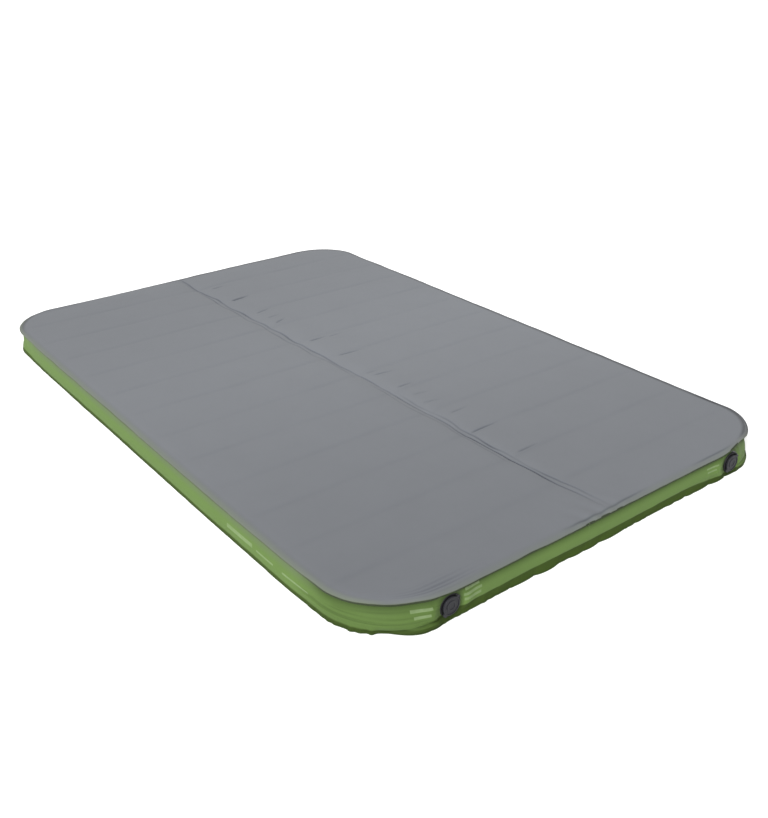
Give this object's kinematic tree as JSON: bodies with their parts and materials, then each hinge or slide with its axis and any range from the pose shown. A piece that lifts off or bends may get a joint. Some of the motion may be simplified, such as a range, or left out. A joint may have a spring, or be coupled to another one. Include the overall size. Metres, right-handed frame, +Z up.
{
  "type": "inflatable sleeping pad",
  "caption": "Self-inflating double sleeping pad: box-walled fabric envelope over cored foam, centre fold crease, and flip-cap twist valves in the foot wall.",
  "frame": {"origin": "on the floor under the centre of the mat, 1 mm left of the crease plane", "axes": "+X across the width to the right as seen from the foot, +Y from the foot wall with the valves towards the head, +Z up"},
  "size_m": [1.32, 2.0065, 0.075],
  "materials": {
    "top_fabric": "matte",
    "base_fabric": "matte",
    "wall_fabric": "matte",
    "top_seam_fabric": "matte",
    "base_seam_fabric": "matte",
    "foam": "matte",
    "weld_film": "satin",
    "valve_plastic": "matte",
    "cap_plastic": "matte",
    "core_plastic": "satin",
    "nut_plastic": "matte",
    "pin_plastic": "satin",
    "seal_rubber": "satin",
    "diaphragm_rubber": "satin"
  },
  "bodies": {
    "left_half": {"top_cover_left": "top_fabric", "base_cover_left": "base_fabric", "side_wall_left": "wall_fabric", "top_edge_seam_left": "top_seam_fabric", "base_edge_seam_left": "base_seam_fabric", "foam_core_left": "foam", "valve_body_left": "valve_plastic", "valve_weld_disc_left": "weld_film", "valve_lock_nut_left": "nut_plastic", "valve_seat_plate_left": "nut_plastic", "diaphragm_stem_left": "pin_plastic", "cap_hinge_pin_left": "pin_plastic"},
    "right_half": {"top_cover_right": "top_fabric", "base_cover_right": "base_fabric", "side_wall_right": "wall_fabric", "top_edge_seam_right": "top_seam_fabric", "base_edge_seam_right": "base_seam_fabric", "foam_core_right": "foam", "valve_body_right": "valve_plastic", "valve_weld_disc_right": "weld_film", "valve_lock_nut_right": "nut_plastic", "valve_seat_plate_right": "nut_plastic", "diaphragm_stem_right": "pin_plastic", "cap_hinge_pin_right": "pin_plastic"},
    "valve_cap_body_left": {"valve_cap_left": "cap_plastic", "cap_gasket_left": "seal_rubber"},
    "twist_core_body_left": {"twist_core_left": "core_plastic", "core_o_ring_left": "seal_rubber"},
    "diaphragm_body_left": {"diaphragm_left": "diaphragm_rubber"},
    "valve_cap_body_right": {"valve_cap_right": "cap_plastic", "cap_gasket_right": "seal_rubber"},
    "twist_core_body_right": {"twist_core_right": "core_plastic", "core_o_ring_right": "seal_rubber"},
    "diaphragm_body_right": {"diaphragm_right": "diaphragm_rubber"}
  },
  "joints": [
    {"name": "centre_fold", "type": "hinge", "parent": "left_half", "child": "right_half", "pos_m": [0.001, 0, 0.0755], "axis": [0, -1, 0], "range_deg": [0, 179]},
    {"name": "cap_hinge_left", "type": "hinge", "parent": "left_half", "child": "valve_cap_body_left", "pos_m": [-0.44268, -1.004, 0.05482], "axis": [-0.7071, 0, 0.7071], "range_deg": [0, 120]},
    {"name": "core_turn_left", "type": "hinge", "parent": "left_half", "child": "twist_core_body_left", "pos_m": [-0.46, -0.9985, 0.0375], "axis": [0, -1, 0], "range_deg": [0, 90]},
    {"name": "diaphragm_lift_left", "type": "slide", "parent": "left_half", "child": "diaphragm_body_left", "axis": [0, 1, 0], "range_m": [0, 0.0025]},
    {"name": "cap_hinge_right", "type": "hinge", "parent": "right_half", "child": "valve_cap_body_right", "pos_m": [0.47732, -1.004, 0.05482], "axis": [-0.7071, 0, 0.7071], "range_deg": [0, 120]},
    {"name": "core_turn_right", "type": "hinge", "parent": "right_half", "child": "twist_core_body_right", "pos_m": [0.46, -0.9985, 0.0375], "axis": [0, -1, 0], "range_deg": [0, 90]},
    {"name": "diaphragm_lift_right", "type": "slide", "parent": "right_half", "child": "diaphragm_body_right", "axis": [0, 1, 0], "range_m": [0, 0.0025]}
  ]
}
